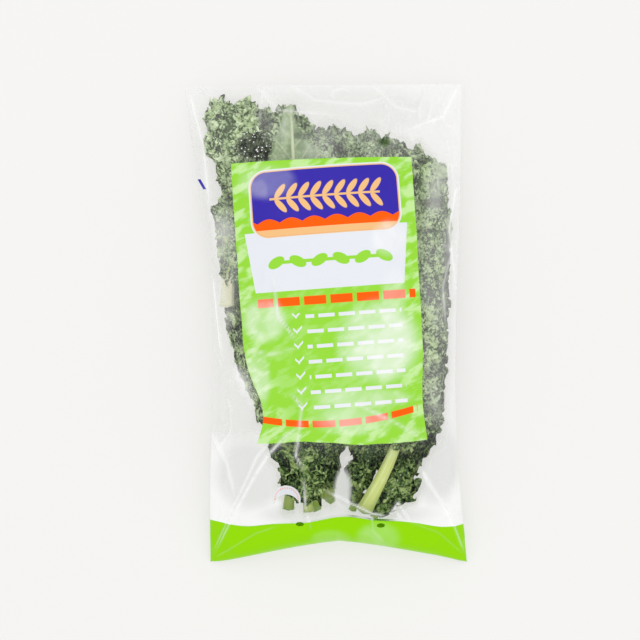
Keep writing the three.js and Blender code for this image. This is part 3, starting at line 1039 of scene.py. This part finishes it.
def film_material(bag):
    """Clear glossy film, milky where slack, with opaque printing."""
    shader = Shader("clear_film")
    sheet = Sheet(shader)
    front = shader.attribute("front")
    milk = shader.attribute("milk")
    ridge = shader.attribute("ridge")
    place = shader.place()
    patch = shader.noise(place, 18, 4)
    slant = shader.vector((sheet.x + sheet.y * 0.6) / 24, (sheet.y - sheet.x * 0.6) / 10)
    brush = shader.noise(slant, 1, 3, 0.55)

    # The panel: its edges wave a little where the film is folded.
    wave = shader.noise(place, 30, 2) - 0.5
    down = (sheet.right / 21).sine() * 1.6 + wave * 5
    inside = 117 - sheet.up - sheet.right * 0.035
    inside = inside.least(sheet.up + 120 + sheet.right * 0.055 + down)
    dent = (0 - ((sheet.up + 90) / 30) ** 2).math("EXPONENT")
    inside = inside.least(sheet.right + 76 + wave * 2 - dent * 13)
    inside = inside.least(75 - sheet.right + wave * 2 + sheet.up * 0.012 - dent * 3)
    panel = inked(inside) * front
    strokes = brush.ramp(0.46, 0.62) * (0.75 - 0.5 * inside.ramp(8, 26))
    ink = shader.mix(strokes, bag.panel, bag.panel_pale)

    def draw(colour, mask):
        nonlocal ink
        ink = shader.mix(mask, ink, colour)

    # A navy banner with a tan rim, a sprig of leaves and a scalloped strip.
    banner = sheet.box(1, 82, 61, 27, 13)
    draw(bag.white, inked(banner + 2.2))
    draw(bag.tan, inked(banner + 1.0))
    draw(bag.navy, inked(banner))
    sprig = sheet.box(1, 86, 46, 0.9)
    for k in range(-4, 5):
        for way in (-1, 1):
            leaf = sheet.oval(1 + 10 * k + 3, 86 + 6 * way, 7.2, 2.5, way * 0.9)
            sprig = sprig.most(leaf)
    draw(bag.tan, inked(sprig))
    scallop = 66 + abs((sheet.right / 6).sine()) * 3.5 - sheet.up
    strip = scallop.least(banner)
    draw(bag.orange, inked(strip))
    draw(bag.tan, inked(strip.least(60.5 - sheet.up)))

    # A white plate, wider at its top, with a row of green leaves.
    plate = 61 + sheet.up * 0.12 - abs(sheet.right)
    plate = plate.least(25 - abs(sheet.up - 34))
    draw(bag.white, inked(plate.least(-2 - banner)))
    row = sheet.box(2, 33, 50, 1.4, 1.2)
    for k in range(6):
        row = row.most(sheet.oval(-43 + 18 * k, 33, 7.5, 4.2, 0.5 - (k % 2)))
    draw(bag.panel, inked(row))

    # Orange bars, seven ticked rows of white bars, and an orange arc.
    cell = ((sheet.right + 90) / BAR_STEP).part()
    bar = sheet.box(5, 0, 66, 3.6, 1).least((0.42 - abs(cell - 0.5)) * BAR_STEP)
    draw(bag.orange, inked(bar))
    step = (sheet.up + 95) / ROW_STEP
    local = (step.part() - 0.5) * ROW_STEP
    rows = (-10 - sheet.up).least(sheet.up + 95)
    words = ((sheet.right + 90 + step.math("FLOOR") * 7) / WORD_STEP).part()
    text = (1.5 - abs(local)).least(sheet.right + 22).least(58 - sheet.right).least(rows)
    text = text.least((0.4 - abs(words - 0.5)) * WORD_STEP)
    draw(bag.white, inked(text))
    mark_x = sheet.right + 30
    tick = (1 - abs(local - mark_x)).least(mark_x + 0.5).least(4.5 - mark_x)
    tick = tick.most((1 - abs(local + mark_x)).least(mark_x + 3).least(0.6 - mark_x))
    draw(bag.white, inked(tick.least(rows)))
    arc = sheet.up + 103 - (sheet.right / 60) ** 2 * 6
    last = (2.8 - abs(arc)).least(66 - abs(sheet.right))
    last = last.least((0.43 - abs(cell - 0.5)) * BAR_STEP)
    draw(bag.orange, inked(last))

    # The band along the seam, on both sides of the bag, with its waved edge.
    swing = (sheet.x / 26 + 0.6).sine() * 3.2 + (sheet.x / 9).sine()
    rise = swing - 166 - (1 - front) * 3 - abs(sheet.x - 5) * 0.03
    band = inked(rise - sheet.y, 0.4)
    draw(bag.band, band)

    # A pale crescent near the stalks and a short navy dash at the side.
    x, y = sheet.from_place(CRESCENT)
    outer = (x**2 + y**2) ** 0.5
    inner = (x**2 + (y + 7) ** 2) ** 0.5
    crescent = inked((11.8 - outer).least(inner - 11)) * front
    turn = y.math("ARCTAN2", x)
    marks = (0.3 - abs((turn * 5).part() - 0.5)).least(0.7 - abs(outer - 9.7))
    pink = shader.mix(inked(marks, 0.2) * 0.5, bag.white, bag.orange)
    draw(pink, crescent)
    x, y = sheet.from_place(DASH)
    dash = inked((1.4 - abs(x + y * 0.6)).least(4.5 - abs(y))) * front
    draw(bag.navy, dash)

    # Droplets on the film beside the head of the upper left leaf.
    cells = shader.cells(place, 330)
    x, y = sheet.from_place(HEAD)
    damp = (1 - (x / 18) ** 2 - (y / 15) ** 2) * front
    drops = (0.24 - cells).ramp(0, 0.08) * damp.ramp(0, 0.5)

    printed = panel.most(band).most(crescent * 0.9).most(dash)
    # Painted reflections and the ridge lines' painted highlights pale the printing towards milk white.
    glare = shader.attribute("glare")
    painted_light_on_ink = glare * (0.8 + 0.5 * (brush - 0.5)) + ridge ** (1 + band) * (0.65 - 0.3 * band)
    # The ridge lines are painted highlight along the creases and crinkles, white over the clear film.
    haze = (milk * (0.8 + 0.4 * patch) + ridge * 0.85).most(drops)
    # Painted shade greys the blank film towards the fold colour, except on the painted highlight lines.
    shade = shader.attribute("shade") * (0.7 + 0.6 * patch) * (1 - ridge)
    blank = shader.mix(shade, bag.milk, bag.fold)
    colour = shader.mix(printed.ramp(0, 0.4), blank, shader.mix(painted_light_on_ink.clamp(), ink, bag.milk))
    bump = shader.bump(shader.noise(place, 45, 4) + 0.4 * shader.noise(place, 160, 3), 0.0012, 0.5)
    body = shader.principled(
        Base_Color=colour, Roughness=0.28, Specular_IOR_Level=0.06, Normal=bump
    )
    clear = shader.node("ShaderNodeBsdfTransparent")
    gloss = shader.node("ShaderNodeBsdfGlossy", Roughness=0.07, Normal=bump)
    shine = shader.node("ShaderNodeFresnel", IOR=1.5, Normal=bump)
    shine = (shine * 1.1).least(0.3) * shader.attribute("sheen")
    shell = shader.node("ShaderNodeMixShader", shine, clear, gloss)
    # The two vent holes are left open.
    hole = None
    for vent in VENTS:
        x, y = sheet.from_place(vent)
        spot = (x / 3.4) ** 2 + (y / 1.9) ** 2
        hole = spot if hole is None else hole.least(spot)
    hole = (hole < 1) * front
    solid = haze.most(printed).clamp()
    film = shader.node("ShaderNodeMixShader", solid, shell, body)
    return shader.surface(shader.node("ShaderNodeMixShader", hole, film, clear))


class KALE_OT_leaves(bpy.types.Operator):
    """Replace each blade by a finely curled one"""

    bl_idname = "kale.leaves"
    bl_label = "Curled Blades"

    def execute(self, context):
        kale = context.scene.kale
        top = blade_material("kale_blade", kale, under=False)
        under = blade_material("kale_blade_underside", kale, under=True)
        for leaf in all_leaves():
            spacing = kale.spacing / MM * leaf.detail
            rows = int(leaf.blade_length / spacing)
            columns = 2 * int(max(leaf.half_width) / spacing * 1.1)
            name = f"curled_blade_{leaf.label}"
            piece = grid_piece(name, columns, rows, blade_shape(leaf, kale))
            COVER.add(piece)
            material = under if leaf.turned else top
            finish_piece(piece, f"leaf_{leaf.label}_blade", material)
        return {"FINISHED"}


class KALE_OT_stalks(bpy.types.Operator):
    """Replace each stalk by a ribbed one with its cut end"""

    bl_idname = "kale.stalks"
    bl_label = "Ribbed Stalks"

    def execute(self, context):
        material = stalk_material(context.scene.kale)
        for leaf in all_leaves():
            piece = grid_piece(f"ribbed_stalk_{leaf.label}", 30, 90, stalk_shape(leaf))
            in_edit_mode(
                piece,
                lambda: bpy.ops.mesh.remove_doubles(threshold=MERGE),
                lambda: bpy.ops.mesh.fill_holes(sides=40),
                lambda: bpy.ops.mesh.normals_make_consistent(inside=False),
            )
            COVER.add(piece)
            finish_piece(piece, f"leaf_{leaf.label}_stalk", material)
        return {"FINISHED"}


class KALE_OT_bag(bpy.types.Operator):
    """Replace the plain bag by creased and printed film"""

    bl_idname = "kale.bag"
    bl_label = "Film Bag"

    def execute(self, context):
        bag = context.scene.kale_bag
        COVER.soften()
        piece = grid_piece("creased_film", 310, 250, film_shape(bag))
        in_edit_mode(piece, lambda: bpy.ops.mesh.remove_doubles(threshold=MERGE))
        finish_piece(piece, "film_bag", film_material(bag))
        return {"FINISHED"}


class KALE_OT_stage(bpy.types.Operator):
    """Add the floor, the soft lights and the camera"""

    bl_idname = "kale.stage"
    bl_label = "Stage"

    def execute(self, context):
        scene = context.scene
        stage = scene.kale_stage
        bpy.ops.object.select_all(action="DESELECT")
        bpy.ops.mesh.primitive_plane_add(size=8, location=(0, 0, 0))
        floor = context.object
        floor.name = "floor"
        shader = Shader("pale_floor")
        grain = shader.noise(shader.place(), 300, 2)
        surface = shader.principled(
            Base_Color=stage.floor,
            Roughness=0.75 + 0.1 * grain,
            Emission_Color=(1, 0.99, 0.97),
            Emission_Strength=stage.glow,
        )
        floor.data.materials.append(shader.surface(surface))

        world = scene.world or bpy.data.worlds.new("studio")
        scene.world = world
        world.use_nodes = True
        background = world.node_tree.nodes["Background"]
        background.inputs["Color"].default_value = (1, 1, 1, 1)
        background.inputs["Strength"].default_value = stage.fill

        for name, place, size, power in (
            ("softbox_left", (-0.7, 0.45, 1.25), (0.12, 0.5), stage.key),
            ("softbox_right", (0.6, -0.1, 1.3), (0.1, 0.6), 0.8 * stage.key),
            ("softbox_near", (0.05, -0.75, 1.2), (0.6, 0.1), 0.6 * stage.key),
            ("softbox_far", (0.1, 0.8, 1.2), (0.6, 0.12), 0.6 * stage.key),
        ):
            bpy.ops.object.light_add(type="AREA", location=place)
            light = context.object
            light.name = name
            light.data.shape = "RECTANGLE"
            light.data.size, light.data.size_y = size
            light.data.energy = power
            away = light.location.normalized()
            light.rotation_euler = away.to_track_quat("Z", "Y").to_euler()

        # The camera looks straight down and shows a square of this width at this height.
        shown_width, shown_height = 0.544, 0.025
        sensor = 36
        height = shown_width * stage.lens / sensor + shown_height
        bpy.ops.object.camera_add(location=(-0.0051, 0.0026, height), rotation=(0, 0, 0))
        camera = context.object
        camera.name = "camera"
        camera.data.lens = stage.lens
        camera.data.sensor_width = sensor
        scene.camera = camera
        scene.view_settings.view_transform = "Standard"
        return {"FINISHED"}


class KALE_PT_panel(bpy.types.Panel):
    """Shows the bagged bunch's settings and the buttons that build its pieces"""

    bl_idname = "KALE_PT_panel"
    bl_label = "Bagged Kale"
    bl_space_type = "VIEW_3D"
    bl_region_type = "UI"
    bl_category = "Kale"

    def draw(self, context):
        layout = self.layout
        scene = context.scene
        for group, settings in SETTINGS.items():
            column = layout.column()
            for name in settings.__annotations__:
                column.prop(getattr(scene, group), name)
        for operator in OPERATORS:
            layout.operator(operator.bl_idname)


SETTINGS = {"kale": KaleSettings, "kale_bag": BagSettings, "kale_stage": StageSettings}
OPERATORS = [KALE_OT_leaves, KALE_OT_stalks, KALE_OT_bag, KALE_OT_stage]
CLASSES = [*SETTINGS.values(), *OPERATORS, KALE_PT_panel]


def register():
    for cls in CLASSES:
        bpy.utils.register_class(cls)
    for group, settings in SETTINGS.items():
        setattr(bpy.types.Scene, group, bpy.props.PointerProperty(type=settings))


def unregister():
    for group in SETTINGS:
        delattr(bpy.types.Scene, group)
    for cls in reversed(CLASSES):
        bpy.utils.unregister_class(cls)


def main():
    register()
    bpy.ops.kale.leaves()
    bpy.ops.kale.stalks()
    bpy.ops.kale.bag()
    bpy.ops.kale.stage()


if __name__ == "__main__":
    main()
